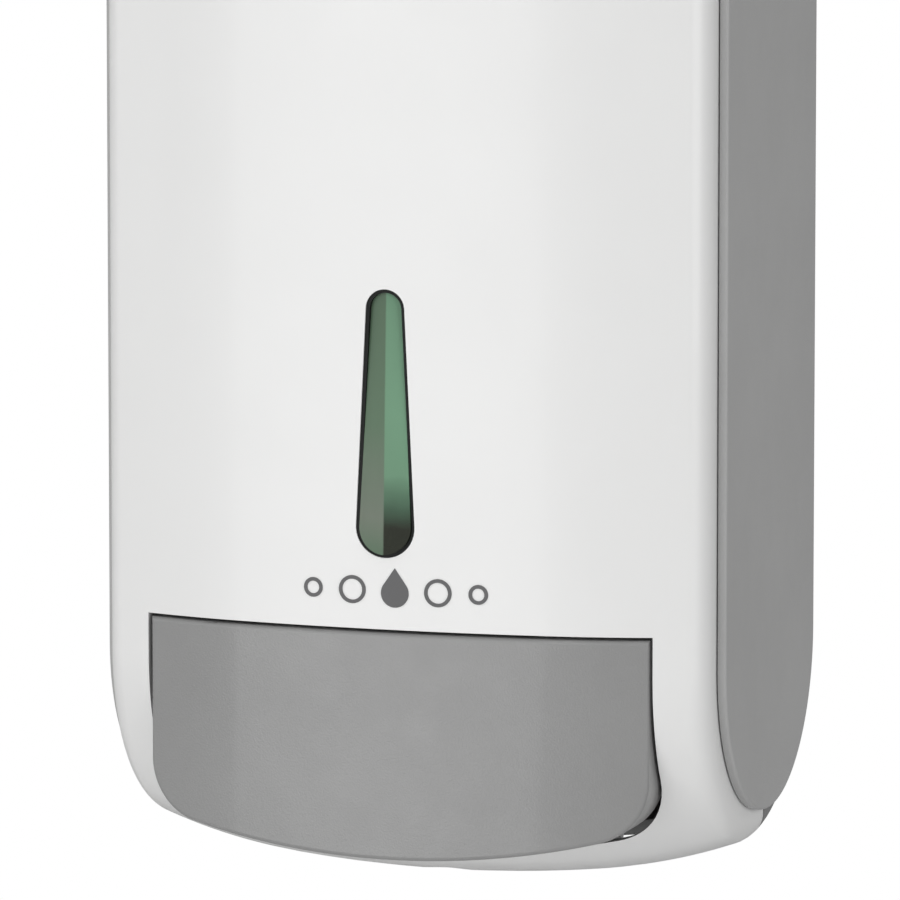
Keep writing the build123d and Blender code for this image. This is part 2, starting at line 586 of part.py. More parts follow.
def push_lever():
    """Grey lever: a bowed front with side and bottom walls, open at the back."""
    low = LEVER_BOTTOM_Z - 2
    block = front_column(0, EDGE_Y - LEVER_BACK_Y, low, LEVER_TOP_Z + 1)
    block &= along_y(lever_outline(0, 0), FRONT_Y - 5, LEVER_BACK_Y)
    rim = [e for e in block.edges() if abs(e.center().Z - LEVER_TOP_Z) < 0.5
           and e.center().Y < EDGE_Y - 4]
    rim += [e for e in block.edges() if e.center().Z < LEVER_TOP_Z - 4
            and e.center().Y < EDGE_Y - 4 and abs(e.center().X) > 1e-3]
    rim += [e for e in block.edges() if e.center().Z < LEVER_BOTTOM_Z + 3
            and e.center().Y < EDGE_Y - 4]
    block = fillet(list(dict.fromkeys(rim)), 0.9)
    pocket = front_column(LEVER_WALL, -30, low - 5, LEVER_TOP_Z + 5)
    pocket &= along_y(lever_outline(-LEVER_WALL, -LEVER_WALL), FRONT_Y - 5, LEVER_BACK_Y + 5)
    lever = block - pocket
    for side in (-1, 1):
        inner = side * (LEVER_HALF_WIDTH - LEVER_WALL)
        deep = inner - side * 2.0
        ear = rod_x(min(inner, deep), max(inner, deep), LEVER_PIVOT_Y, LEVER_PIVOT_Z, 3.4)
        lever += ear
        outer = side * LEVER_HALF_WIDTH
        lever -= rod_x(min(deep, outer) - 1, max(deep, outer) + 1, LEVER_PIVOT_Y, LEVER_PIVOT_Z,
                       LEVER_PIN_RADIUS + PIN_FIT)
    z = LEVER_PIVOT_Z + FORK_PIVOT_DROP
    inside = front_column(0.5, -30, LEVER_BOTTOM_Z, LEVER_TOP_Z)
    for x in (-FORK_SCREW_X, FORK_SCREW_X):
        post = rod_y(x, FRONT_Y, FORK_BASE_Y, z, 3.2) & inside
        lever += post - rod_y(x, FORK_BASE_Y - 7, FORK_BASE_Y + 1, z, SCREW_RADIUS)
    for x in (-32.0, 0.0, 32.0):
        rib = box(x - 0.8, x + 0.8, FRONT_Y, LEVER_BACK_Y - 4, LEVER_BOTTOM_Z + 1.5,
                  LEVER_TOP_Z - 1.5)
        rib -= box(x - 2, x + 2, FORK_BASE_Y - 4, 0, LEVER_BOTTOM_Z, LEVER_TOP_Z)
        lever += rib & inside & along_y(lever_outline(-1, -1), FRONT_Y, 0)
    return lever


def pump_fork():
    """Fork screwed behind the lever; its two prongs lift the pump plunger."""
    z = LEVER_PIVOT_Z + FORK_PIVOT_DROP
    base = box(-FORK_SCREW_X - 5, FORK_SCREW_X + 5, FORK_BASE_Y, FORK_BASE_Y + 3, z - 5, z + 4)
    fork = base
    for side in (-1, 1):
        left = min(side * PRONG_IN_X, side * PRONG_OUT_X)
        right = max(side * PRONG_IN_X, side * PRONG_OUT_X)
        prong = box(left, right, FORK_BASE_Y, PUMP_Y, z - 4, z + 1.0)
        prong += rod_x(left, right, PUMP_Y, z, FORK_TIP_RADIUS)
        fork += prong
    for x in (-FORK_SCREW_X, FORK_SCREW_X):
        fork -= rod_y(x, FORK_BASE_Y - 2, FORK_BASE_Y + 9, z, SCREW_RADIUS)
    return fork


def fork_screws():
    """Two screws that hold the fork on the lever's posts."""
    z = LEVER_PIVOT_Z + FORK_PIVOT_DROP
    return Compound(children=[
        Pos(x, FORK_BASE_Y + 3, z) * Rot(-90, 0, 0) * screw(SCREW_RADIUS, 9.0, 2.8, 1.6)
        for x in (-FORK_SCREW_X, FORK_SCREW_X)])


# ---------------------------------------------------------------- reservoir and pump
NECK_LOW_Z = TANK_BOTTOM_Z - NECK_LENGTH
WASHER_THICK = 1.0
FLANGE_THICK = 2.0
BODY_FLANGE_Z = NECK_LOW_Z - WASHER_THICK
GUIDE_LOW_Z = BODY_FLANGE_Z - FLANGE_THICK - 4.0
CHAMBER_LOW_Z = BODY_FLANGE_Z - FLANGE_THICK
CHAMBER_TOP_Z = CHAMBER_LOW_Z + CHAMBER_LENGTH
PISTON_Z = CHAMBER_LOW_Z + 3.0
PISTON_THICK = 5.0
SEAL_Z = PISTON_Z + PISTON_THICK / 2
STEM_LOW_Z = PLUNGER_FLANGE_Z - 12.0
NOZZLE_LOW_Z = HINGE_Z - 4.0


def rounded_block(half, rear, front, low, top, radius):
    """A block with rounded upright edges."""
    block = box(-half, half, front, rear, low, top)
    return fillet(block.edges().filter_by(Axis.Z), radius)


def reservoir_tank():
    """Translucent tank with a wide filling mouth on top and a neck below."""
    middle = (TANK_REAR_Y + TANK_FRONT_Y) / 2
    tank = rounded_block(TANK_HALF_WIDTH, TANK_REAR_Y, TANK_FRONT_Y, TANK_BOTTOM_Z, TANK_TOP_Z,
                         TANK_CORNER_RADIUS)
    tank = fillet(tank.edges().group_by(Axis.Z)[0], 3.0)
    tank += rod_z(0, PUMP_Y, NECK_LOW_Z, TANK_BOTTOM_Z + 1, NECK_RADIUS)
    wall = TANK_WALL
    tank -= rounded_block(TANK_HALF_WIDTH - wall, TANK_REAR_Y - wall, TANK_FRONT_Y + wall,
                          TANK_BOTTOM_Z + wall, TANK_TOP_Z - wall, TANK_CORNER_RADIUS - wall)
    tank -= rod_z(0, PUMP_Y, NECK_LOW_Z - 1, TANK_BOTTOM_Z + 5, NECK_RADIUS - NECK_WALL)
    rim = rounded_block(MOUTH_HALF_WIDTH + 2, middle + MOUTH_DEPTH / 2 + 2,
                        middle - MOUTH_DEPTH / 2 - 2, TANK_TOP_Z - 1, TANK_TOP_Z + 2, 8.0)
    tank += rim
    tank -= rounded_block(MOUTH_HALF_WIDTH, middle + MOUTH_DEPTH / 2, middle - MOUTH_DEPTH / 2,
                          TANK_TOP_Z - 5, TANK_TOP_Z + 5, 6.0)
    return tank


def lid_seal():
    """Soft ring on the mouth's rim."""
    middle = (TANK_REAR_Y + TANK_FRONT_Y) / 2
    z = TANK_TOP_Z + 2
    ring = rounded_block(MOUTH_HALF_WIDTH + 2, middle + MOUTH_DEPTH / 2 + 2,
                         middle - MOUTH_DEPTH / 2 - 2, z, z + 1, 8.0)
    return ring - rounded_block(MOUTH_HALF_WIDTH, middle + MOUTH_DEPTH / 2,
                                middle - MOUTH_DEPTH / 2, z - 1, z + 2, 6.0)


def tank_lid():
    """Lift-off lid of the tank with a grip ridge."""
    middle = (TANK_REAR_Y + TANK_FRONT_Y) / 2
    z = TANK_TOP_Z + 3
    lid = rounded_block(MOUTH_HALF_WIDTH + 4, middle + MOUTH_DEPTH / 2 + 4,
                        middle - MOUTH_DEPTH / 2 - 4, z, z + 1.8, 9.0)
    skirt = rounded_block(MOUTH_HALF_WIDTH - 0.3, middle + MOUTH_DEPTH / 2 - 0.3,
                          middle - MOUTH_DEPTH / 2 + 0.3, z - 5, z, 5.7)
    skirt -= rounded_block(MOUTH_HALF_WIDTH - 1.9, middle + MOUTH_DEPTH / 2 - 1.9,
                           middle - MOUTH_DEPTH / 2 + 1.9, z - 6, z, 4.1)
    ridge = box(-16, 16, middle - 1.5, middle + 1.5, z + 1.8, z + 4.0)
    return lid + skirt + fillet(ridge.edges().filter_by(Axis.Z), 1.4)


def pump_bracket():
    """Shelf that carries the tank, with a slot for its neck and a screwed rear flange."""
    top = BRACKET_TOP_Z
    half = TANK_HALF_WIDTH - 2
    front = PUMP_Y - 18.0
    slot = NECK_RADIUS + 4.6
    shelf = box(-half, half, front, -BACK_THICK, top - BRACKET_THICK, top)
    shelf = fillet(shelf.edges().filter_by(Axis.Z).sort_by(Axis.Y)[:2], 5.0)
    shelf -= rod_z(0, PUMP_Y, top - 9, top + 1, slot)
    shelf -= box(-slot, slot, front - 1, PUMP_Y, top - 9, top + 1)
    shelf += box(-half, half, -2 * BACK_THICK, -BACK_THICK, top - 20, top)
    for x in (-30.0, 30.0):
        gusset = Plane(origin=(x - 1.2, 0, 0), x_dir=(0, 1, 0), z_dir=(1, 0, 0)) * make_face(
            Polyline([(-2 * BACK_THICK, top - 20), (-2 * BACK_THICK, top - BRACKET_THICK),
                      (front + 8, top - BRACKET_THICK)], close=True))
        shelf += extrude(gusset, 2.4)
    for x in (-BRACKET_X, BRACKET_X):
        shelf -= rod_y(x, -20, 0, BRACKET_SCREW_Z, SCREW_RADIUS)
    return shelf


def bracket_screws():
    """Two screws that hold the shelf on the back plate."""
    return Compound(children=[
        Pos(x, -2 * BACK_THICK, BRACKET_SCREW_Z) * Rot(90, 0, 0)
        * screw(SCREW_RADIUS, 2 * BACK_THICK - 0.6, 3.0, 1.8)
        for x in (-BRACKET_X, BRACKET_X)])


def latch_keeper():
    """Steel keeper: an arm over the tank with a post in front of the lock's cam."""
    thick = 2.0
    arm = box(-15, 15, LOCK_Y - 8, -BACK_THICK, KEEPER_Z, KEEPER_Z + thick)
    arm += box(-20, 20, -BACK_THICK - thick, -BACK_THICK, KEEPER_Z, HOUSING_TOP_Z - 1)
    front = LOCK_Y - CAM_WIDTH / 2 - 0.5
    arm += box(CAM_REACH - 4, CAM_REACH + 3, front - thick, front, KEEPER_Z, CAM_TOP_Z + 2)
    for x in (-KEEPER_SCREW_X, KEEPER_SCREW_X):
        arm -= rod_y(x, -20, 0, KEEPER_SCREW_Z, SCREW_RADIUS)
    return arm


def keeper_screws():
    """Two screws that hold the keeper on the back plate."""
    return Compound(children=[
        Pos(x, -BACK_THICK - 2.0, KEEPER_SCREW_Z) * Rot(90, 0, 0)
        * screw(SCREW_RADIUS, BACK_THICK + 2.0 - 0.6, 2.4, 1.6)
        for x in (-KEEPER_SCREW_X, KEEPER_SCREW_X)])


def neck_washer():
    """Flat seal between the tank's neck and the pump body."""
    return tube_z(0, PUMP_Y, BODY_FLANGE_Z, NECK_LOW_Z, NECK_RADIUS, CHAMBER_RADIUS + 1.5)


def pump_body():
    """Pump cylinder: chamber up in the tank, clamping flange and guide for the stem."""
    outer = CHAMBER_RADIUS + 1.5
    body = rod_z(0, PUMP_Y, GUIDE_LOW_Z, CHAMBER_TOP_Z, outer)
    body += rod_z(0, PUMP_Y, CHAMBER_LOW_Z, BODY_FLANGE_Z, NECK_RADIUS)
    body -= rod_z(0, PUMP_Y, CHAMBER_LOW_Z, CHAMBER_TOP_Z + 1, CHAMBER_RADIUS)
    return body - rod_z(0, PUMP_Y, GUIDE_LOW_Z - 1, CHAMBER_LOW_Z + 1, STEM_RADIUS + PIN_FIT)


VALVE_PLUG_LENGTH = 4.0
VALVE_FLOOR_Z = CHAMBER_TOP_Z - 2.0
VALVE_HOLE_RADIUS = 1.5
BALL_SIT = sqrt(BALL_RADIUS ** 2 - VALVE_HOLE_RADIUS ** 2)
VALVE_SEAT_Z = VALVE_FLOOR_Z + 2 * BALL_SIT + BALL_LIFT + 0.1


def inlet_valve():
    """Cap on top of the chamber with the seat and the cage of the inlet ball."""
    outer = CHAMBER_RADIUS + 1.5
    top = CHAMBER_TOP_Z
    cap = rod_z(0, PUMP_Y, top, top + 8, outer)
    cap += rod_z(0, PUMP_Y, top - VALVE_PLUG_LENGTH, top, CHAMBER_RADIUS)
    cap -= rod_z(0, PUMP_Y, VALVE_FLOOR_Z, VALVE_SEAT_Z, BALL_RADIUS + 0.3)
    cap -= rod_z(0, PUMP_Y, top - 10, top + 20, VALVE_HOLE_RADIUS)
    for turn in (0, 90):
        slot = Pos(0, PUMP_Y, top - 3) * Rot(0, 0, turn) * Box(2 * BALL_RADIUS, 1.4, 2.0)
        cap -= slot
    return cap


def inlet_ball():
    """Steel ball that shuts the inlet on the pressing stroke."""
    return Pos(0, PUMP_Y, VALVE_FLOOR_Z + BALL_SIT + 0.05) * Sphere(BALL_RADIUS)


def collar_nut():
    """Ribbed nut that clamps the pump body to the neck."""
    low = CHAMBER_LOW_Z - 2.0
    top = TANK_BOTTOM_Z - 1.5
    nut = rod_z(0, PUMP_Y, low, top, NECK_RADIUS + 3.6)
    nut -= rod_z(0, PUMP_Y, CHAMBER_LOW_Z, top + 1, NECK_RADIUS)
    nut -= rod_z(0, PUMP_Y, low - 1, top, CHAMBER_RADIUS + 2.0)
    ribs = PolarLocations(NECK_RADIUS + 3.8, 24)
    cuts = [Pos(0, PUMP_Y, (low + top) / 2) * place * Cylinder(0.8, top - low - 3)
            for place in ribs]
    for cut in cuts:
        nut -= cut
    return nut


def plunger():
    """Hollow stem with the piston head on top and the lifting flange below."""
    stem = rod_z(0, PUMP_Y, STEM_LOW_Z, PISTON_Z + PISTON_THICK, STEM_RADIUS)
    stem += rod_z(0, PUMP_Y, PISTON_Z, PISTON_Z + PISTON_THICK, CHAMBER_RADIUS - 0.5)
    stem -= tube_z(0, PUMP_Y, SEAL_Z - 1, SEAL_Z + 1, CHAMBER_RADIUS + 2, CHAMBER_RADIUS - 1.8)
    stem += rod_z(0, PUMP_Y, PLUNGER_FLANGE_Z, PLUNGER_FLANGE_Z + 2.5, PRONG_OUT_X + 1.6)
    return stem - rod_z(0, PUMP_Y, STEM_LOW_Z - 1, 100, STEM_BORE)


def piston_seal():
    """Rubber ring in the groove of the piston head."""
    return tube_z(0, PUMP_Y, SEAL_Z - 1, SEAL_Z + 1, CHAMBER_RADIUS - 0.04, CHAMBER_RADIUS - 1.8)


def pump_spring():
    """Compression spring between the pump body and the plunger's flange."""
    low = PLUNGER_FLANGE_Z + 2.5 + SPRING_WIRE / 2
    high = GUIDE_LOW_Z - SPRING_WIRE / 2
    pitch = (high - low) / SPRING_TURNS
    path = Helix(pitch, high - low, SPRING_RADIUS)
    section = Plane(origin=path @ 0, z_dir=path % 0) * Circle(SPRING_WIRE / 2)
    return Pos(0, PUMP_Y, low) * sweep(section, path)


def nozzle():
    """Soft spout pushed over the stem."""
    top = PLUNGER_FLANGE_Z - 0.5
    body = rod_z(0, PUMP_Y, NOZZLE_LOW_Z + 6, top, STEM_RADIUS + 1.6)
    body += Pos(0, PUMP_Y, NOZZLE_LOW_Z + 3) * Cone(3.2, STEM_RADIUS + 1.6, 6)
    body -= rod_z(0, PUMP_Y, STEM_LOW_Z, top + 1, STEM_RADIUS)
    body -= rod_z(0, PUMP_Y, STEM_LOW_Z - 5, STEM_LOW_Z + 1, 3.0)
    return body - rod_z(0, PUMP_Y, NOZZLE_LOW_Z - 1, STEM_LOW_Z, 1.6)


def outlet_valve():
    """Duckbill seal in the spout under the stem's end."""
    seal = rod_z(0, PUMP_Y, STEM_LOW_Z - 1.5, STEM_LOW_Z, 3.0)
    bill = rod_z(0, PUMP_Y, STEM_LOW_Z - 5, STEM_LOW_Z - 1.5, 2.2)
    bill -= box(-3, 3, PUMP_Y + 0.7, PUMP_Y + 5, STEM_LOW_Z - 6, STEM_LOW_Z - 3)
    bill -= box(-3, 3, PUMP_Y - 5, PUMP_Y - 0.7, STEM_LOW_Z - 6, STEM_LOW_Z - 3)
    return seal + bill - rod_z(0, PUMP_Y, STEM_LOW_Z - 4, STEM_LOW_Z + 1, 0.5)


NODES = {
    "rear_housing": rear_housing,
    "left_cheek": lambda: cheek(-1),
    "right_cheek": lambda: cheek(1),
    "cheek_screws": cheek_screws,
    "pump_bracket": pump_bracket,
    "bracket_screws": bracket_screws,
    "latch_keeper": latch_keeper,
    "keeper_screws": keeper_screws,
    "cover_hinge_pins": cover_hinge_pins,
    "reservoir_tank": reservoir_tank,
    "lid_seal": lid_seal,
    "tank_lid": tank_lid,
    "neck_washer": neck_washer,
    "pump_body": pump_body,
    "inlet_valve": inlet_valve,
    "inlet_ball": inlet_ball,
    "collar_nut": collar_nut,
    "plunger": plunger,
    "piston_seal": piston_seal,
    "pump_spring": pump_spring,
    "nozzle": nozzle,
    "outlet_valve": outlet_valve,
    "front_cover": front_cover,
    "window_gasket": window_gasket,
    "window_lens": window_lens,
    "window_retainer": window_retainer,
    "soap_pictogram": soap_pictogram,
    "lock_housing": lock_housing,
    "lock_nut": lock_nut,
    "lever_pins": lever_pins,
    "lock_barrel": lock_barrel,
    "lock_cam": lock_cam,
    "cam_screw": cam_screw,
    "push_lever": push_lever,
    "pump_fork": pump_fork,
    "fork_screws": fork_screws,
}


def main():
    """Write one STEP file for each sub-part."""
    os.makedirs("parts", exist_ok=True)
    for name, build in NODES.items():
        solid = build()
        export_step(solid, f"parts/{name}.step")
        print(name, len(solid.solids()), round(solid.volume))


if __name__ == "__main__":
    main()
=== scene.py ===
"""Looks of the wall mounted soap dispenser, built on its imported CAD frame.

Every piece lies in the row frame in metres: +X right, +Y into the wall, +Z up, with the
origin on the wall face between the four wall screw holes.
"""

import logging
import math
from dataclasses import dataclass, field
from enum import Enum

import bmesh
import bpy
from mathutils import Matrix, Vector

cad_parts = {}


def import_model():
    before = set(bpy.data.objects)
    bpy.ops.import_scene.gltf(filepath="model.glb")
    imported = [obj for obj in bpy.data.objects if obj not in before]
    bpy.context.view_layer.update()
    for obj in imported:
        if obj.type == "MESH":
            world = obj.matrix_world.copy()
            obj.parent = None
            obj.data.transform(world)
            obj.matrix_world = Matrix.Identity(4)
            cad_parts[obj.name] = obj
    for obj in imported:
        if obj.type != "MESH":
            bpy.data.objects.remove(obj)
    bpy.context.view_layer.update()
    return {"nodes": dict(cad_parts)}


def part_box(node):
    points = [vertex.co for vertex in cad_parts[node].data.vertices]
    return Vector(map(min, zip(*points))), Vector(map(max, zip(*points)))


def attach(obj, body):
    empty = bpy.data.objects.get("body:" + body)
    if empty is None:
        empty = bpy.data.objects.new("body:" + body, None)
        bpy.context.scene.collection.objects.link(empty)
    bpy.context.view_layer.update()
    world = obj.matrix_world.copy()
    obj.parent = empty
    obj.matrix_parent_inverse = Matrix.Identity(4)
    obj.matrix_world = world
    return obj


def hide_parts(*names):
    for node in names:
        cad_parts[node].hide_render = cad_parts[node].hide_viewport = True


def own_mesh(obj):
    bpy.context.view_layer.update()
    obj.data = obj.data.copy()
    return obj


log = logging.getLogger("soap_dispenser")

MM = 0.001
Colour = tuple[float, float, float, float]

# Edges flatter than these angles, in degrees, are shaded smooth.
SMOOTH_ANGLE = 32.0
COVER_ANGLE = 30.0
CHEEK_ANGLE = 40.0
LEVER_ANGLE = 35.0
WELD_DISTANCE = 0.002 * MM
SLIVER_EDGE = 0.001 * MM

# Noise values between these two carry most of a noise texture's variation.
NOISE_LOW = 0.3
NOISE_HIGH = 0.7

# Noise cells per metre.
DRIFT_SCALE = 38.0
BRUSH_SCALE = 500.0
PIT_SCALE = 2600.0
CLOUD_SCALE = 160.0
PEEL_SCALE = 420.0
WAVE_SCALE = 60.0
FILM_SCALE = 120.0
LENS_CLOUD_SCALE = 90.0
LENS_FILM_SCALE = 150.0
BRUSH_STRETCH = (1.0, 1.0, 0.04)

# Relief depths.
BRUSH_RELIEF = 0.001 * MM
PIT_RELIEF = 0.055 * MM
WAVE_RELIEF = 0.010 * MM
PEEL_RELIEF = 0.004 * MM
FILM_RELIEF = 0.003 * MM
LENS_RELIEF = 0.004 * MM

COAT_ROUGHNESS = 0.08
ACRYLIC_IOR = 1.49
RIDGE_HALF_WIDTH = 0.15 * MM

# Sockets of the Mix node when it mixes colours.
MIX_FIRST_COLOUR = 6
MIX_SECOND_COLOUR = 7
MIX_COLOUR_RESULT = 2


def shade(value: float, tint: tuple[float, float, float] = (1.0, 1.0, 1.0)) -> Colour:
    """A grey of a given linear value, tinted.

    Args:
        value: linear reflectance from 0 to 1.
        tint: factors on red, green and blue.

    Returns:
        The colour with full alpha.
    """
    return (value * tint[0], value * tint[1], value * tint[2], 1.0)


def scaled(colour: Colour, factor: float) -> Colour:
    """The colour with red, green and blue multiplied, at most 1, and full alpha."""
    return tuple(min(1.0, channel * factor) for channel in colour[:3]) + (1.0,)


class Grain(Enum):
    """Surface textures that moulded and metal pieces have."""

    POLISHED = "polished"
    SATIN = "satin"
    SPARKED = "sparked"
    BRUSHED = "brushed"


class TreeEditor:
    """Short calls that add and join the nodes of a tree."""

    tree: bpy.types.NodeTree

    def add(self, kind: str, **values: object) -> bpy.types.Node:
        """Add a node and set its attributes.

        Args:
            kind: the node's type name.
            values: attributes to set on it.

        Returns:
            The new node.
        """
        node = self.tree.nodes.new(kind)
        for name, value in values.items():
            setattr(node, name, value)
        return node

    def link(self, source: bpy.types.Node, out: str | int, target: bpy.types.Node,
             into: str | int) -> None:
        """Join an output to an input."""
        self.tree.links.new(source.outputs[out], target.inputs[into])


@dataclass
class NodeTree(TreeEditor):
    """A material's node tree with short calls that add and join nodes."""

    material: bpy.types.Material

    def __post_init__(self) -> None:
        """Empty the tree and add the shader and the output."""
        self.material.use_nodes = True
        self.tree = self.material.node_tree
        self.tree.nodes.clear()
        output = self.add("ShaderNodeOutputMaterial")
        self.shader = self.add("ShaderNodeBsdfPrincipled")
        self.link(self.shader, "BSDF", output, "Surface")
        self.place = self.add("ShaderNodeTexCoord")

    def noise(self, scale: float, detail: float = 2.0, stretch: Vector | None = None,
              ) -> bpy.types.Node:
        """Add a noise texture on object coordinates.

        Args:
            scale: noise cells per metre.
            detail: octaves of the noise.
            stretch: factors on the coordinates, for brushed or drawn surfaces.

        Returns:
            The noise node.
        """
        node = self.add("ShaderNodeTexNoise")
        node.inputs["Scale"].default_value = scale
        node.inputs["Detail"].default_value = detail
        if stretch is None:
            self.link(self.place, "Object", node, "Vector")
            return node
        mapping = self.add("ShaderNodeMapping")
        mapping.inputs["Scale"].default_value = stretch
        self.link(self.place, "Object", mapping, "Vector")
        self.link(mapping, "Vector", node, "Vector")
        return node

    def ramp(self, source: bpy.types.Node, out: str, stops: list[tuple[float, Colour]],
             ) -> bpy.types.Node:
        """Add a colour ramp on a value.

        Args:
            source: node that gives the value.
            out: its output.
            stops: positions and colours from low to high.

        Returns:
            The ramp node.
        """
        node = self.add("ShaderNodeValToRGB")
        elements = node.color_ramp.elements
        elements[0].position, elements[0].color = stops[0]
        elements[1].position, elements[1].color = stops[-1]
        for position, colour in stops[1:-1]:
            elements.new(position).color = colour
        self.link(source, out, node, "Fac")
        return node

    def spread(self, source: bpy.types.Node, out: str, low: float, high: float,
               ) -> bpy.types.Node:
        """Map the middle band of a noise onto low to high, clamped."""
        node = self.add("ShaderNodeMapRange")
        node.inputs["From Min"].default_value = NOISE_LOW
        node.inputs["From Max"].default_value = NOISE_HIGH
        node.inputs["To Min"].default_value = low
        node.inputs["To Max"].default_value = high
        self.link(source, out, node, "Value")
        return node

    def bump(self, source: bpy.types.Node, out: str, depth: float,
             under: bpy.types.Node | None = None) -> bpy.types.Node:
        """Add a bump of a depth in metres, on top of another one if given."""
        node = self.add("ShaderNodeBump")
        node.inputs["Distance"].default_value = depth
        node.inputs["Strength"].default_value = 1.0
        self.link(source, out, node, "Height")
        if under is not None:
            self.link(under, "Normal", node, "Normal")
        return node


@dataclass(frozen=True)
class Finish:
    """A moulded or metal finish.

    Attributes:
        name: material name.
        colour: linear colour.
        roughness: middle roughness.
        grain: surface texture.
        metallic: 1 for metal.
        coat: weight of a glossy coat.
        specular: strength of the surface reflection.
        wash: how far the colour drifts over the piece, as a share.
        see_through: weight of light that passes through.
    """

    name: str
    colour: Colour
    roughness: float
    grain: Grain = Grain.SATIN
    metallic: float = 0.0
    coat: float = 0.0
    specular: float = 0.5
    wash: float = 0.02
    see_through: float = 0.0

    def build(self) -> bpy.types.Material:
        """Make the material with its colour, roughness and bump nodes."""
        nodes = NodeTree(bpy.data.materials.new(self.name))
        shader = nodes.shader
        drift = nodes.noise(DRIFT_SCALE, 3.0)
        low = scaled(self.colour, 1 - self.wash)
        high = scaled(self.colour, 1 + self.wash)
        tone = nodes.ramp(drift, "Fac", [(NOISE_LOW, low), (NOISE_HIGH, high)])
        nodes.link(tone, "Color", shader, "Base Color")
        shader.inputs["Metallic"].default_value = self.metallic
        shader.inputs["Specular IOR Level"].default_value = self.specular
        shader.inputs["Coat Weight"].default_value = self.coat
        shader.inputs["Coat Roughness"].default_value = COAT_ROUGHNESS
        shader.inputs["Transmission Weight"].default_value = self.see_through
        self.texture(nodes)
        return nodes.material

    def texture(self, nodes: NodeTree) -> None:
        """Add the roughness and bump of the grain.

        Args:
            nodes: the material's tree.
        """
        if self.grain is Grain.BRUSHED:
            lines = nodes.noise(BRUSH_SCALE, 2.0, Vector(BRUSH_STRETCH))
            rough = nodes.spread(lines, "Fac", self.roughness - 0.08, self.roughness + 0.10)
            relief = nodes.bump(lines, "Fac", BRUSH_RELIEF)
        elif self.grain is Grain.SPARKED:
            pits = nodes.noise(PIT_SCALE)
            clouds = nodes.noise(CLOUD_SCALE, 3.0)
            rough = nodes.spread(clouds, "Fac", self.roughness - 0.04, self.roughness + 0.04)
            relief = nodes.bump(pits, "Fac", PIT_RELIEF)
        elif self.grain is Grain.SATIN:
            peel = nodes.noise(PEEL_SCALE)
            waves = nodes.noise(WAVE_SCALE)
            rough = nodes.spread(waves, "Fac", self.roughness - 0.03, self.roughness + 0.03)
            soft = nodes.bump(waves, "Fac", WAVE_RELIEF)
            relief = nodes.bump(peel, "Fac", PEEL_RELIEF, soft)
        else:
            film = nodes.noise(FILM_SCALE)
            rough = nodes.spread(film, "Fac", max(0.01, self.roughness - 0.02),
                                 self.roughness + 0.02)
            relief = nodes.bump(film, "Fac", FILM_RELIEF)
        nodes.link(rough, "Result", nodes.shader, "Roughness")
        nodes.link(relief, "Normal", nodes.shader, "Normal")


@dataclass(frozen=True)
class LensFinish:
    """Tinted green sight window: the left facet is the green with a grey painted reflection, the
    right facet is the lens's own green, and both darken towards the foot as painted shade.
    """

    name: str = "smoke_green_lens"
    # Left facet colour: the lens's green lightened to grey, a painted reflection.
    grey: Colour = (0.175, 0.275, 0.182, 1.0)
    green: Colour = (0.245, 0.465, 0.300, 1.0)
    # Near-black foot colour: painted shade of the dark inside, seen through the lower part of
    # the lens.
    foot: Colour = (0.030, 0.034, 0.022, 1.0)

    def build(self, middle_x: float, low_z: float, high_z: float) -> bpy.types.Material:
        """Make the lens material.

        Args:
            middle_x: where the ridge between the facets runs, in metres.
            low_z: height of the lens's foot.
            high_z: height of its top.

        Returns:
            The material.
        """
        nodes = NodeTree(bpy.data.materials.new(self.name))
        parts = nodes.add("ShaderNodeSeparateXYZ")
        nodes.link(nodes.place, "Object", parts, "Vector")
        side = nodes.add("ShaderNodeMapRange")
        side.inputs["From Min"].default_value = middle_x - RIDGE_HALF_WIDTH
        side.inputs["From Max"].default_value = middle_x + RIDGE_HALF_WIDTH
        nodes.link(parts, "X", side, "Value")
        rise = nodes.add("ShaderNodeMapRange")
        rise.inputs["From Min"].default_value = low_z
        rise.inputs["From Max"].default_value = high_z
        nodes.link(parts, "Z", rise, "Value")
        cloud = nodes.noise(LENS_CLOUD_SCALE)
        mixed = nodes.add("ShaderNodeMath", operation="MULTIPLY_ADD")
        mixed.inputs[1].default_value = 0.10
        nodes.link(cloud, "Fac", mixed, 0)
        nodes.link(rise, "Result", mixed, 2)
        # Left facet: grey painted reflection on the lens's green, with a lighter painted
        # highlight band low down, and a little darker at the foot and the top as painted shade.
        left = nodes.ramp(mixed, "Value", [
            (0.06, scaled(self.grey, 0.95)),
            (0.22, (0.255, 0.300, 0.240, 1.0)), (0.55, self.grey),
            (0.98, scaled(self.grey, 0.85))])
        # Right facet: the lens's own green, fading to the foot colour low down and a little
        # darker at the top, painted shade of the dark inside.
        right = nodes.ramp(mixed, "Value", [
            (0.19, self.foot), (0.26, scaled(self.green, 0.35)),
            (0.36, scaled(self.green, 0.92)), (0.60, self.green),
            (0.97, scaled(self.green, 0.90))])
        mix = nodes.add("ShaderNodeMix", data_type="RGBA")
        nodes.link(side, "Result", mix, "Factor")
        nodes.link(left, "Color", mix, MIX_FIRST_COLOUR)
        nodes.link(right, "Color", mix, MIX_SECOND_COLOUR)
        nodes.link(mix, MIX_COLOUR_RESULT, nodes.shader, "Base Color")
        nodes.shader.inputs["Transmission Weight"].default_value = 0.25
        nodes.shader.inputs["IOR"].default_value = ACRYLIC_IOR
        nodes.shader.inputs["Coat Weight"].default_value = 0.6
        nodes.shader.inputs["Coat Roughness"].default_value = 0.03
        film = nodes.noise(LENS_FILM_SCALE)
        rough = nodes.spread(film, "Fac", 0.06, 0.10)
        relief = nodes.bump(film, "Fac", LENS_RELIEF)
        nodes.link(rough, "Result", nodes.shader, "Roughness")
        nodes.link(relief, "Normal", nodes.shader, "Normal")
        return nodes.material


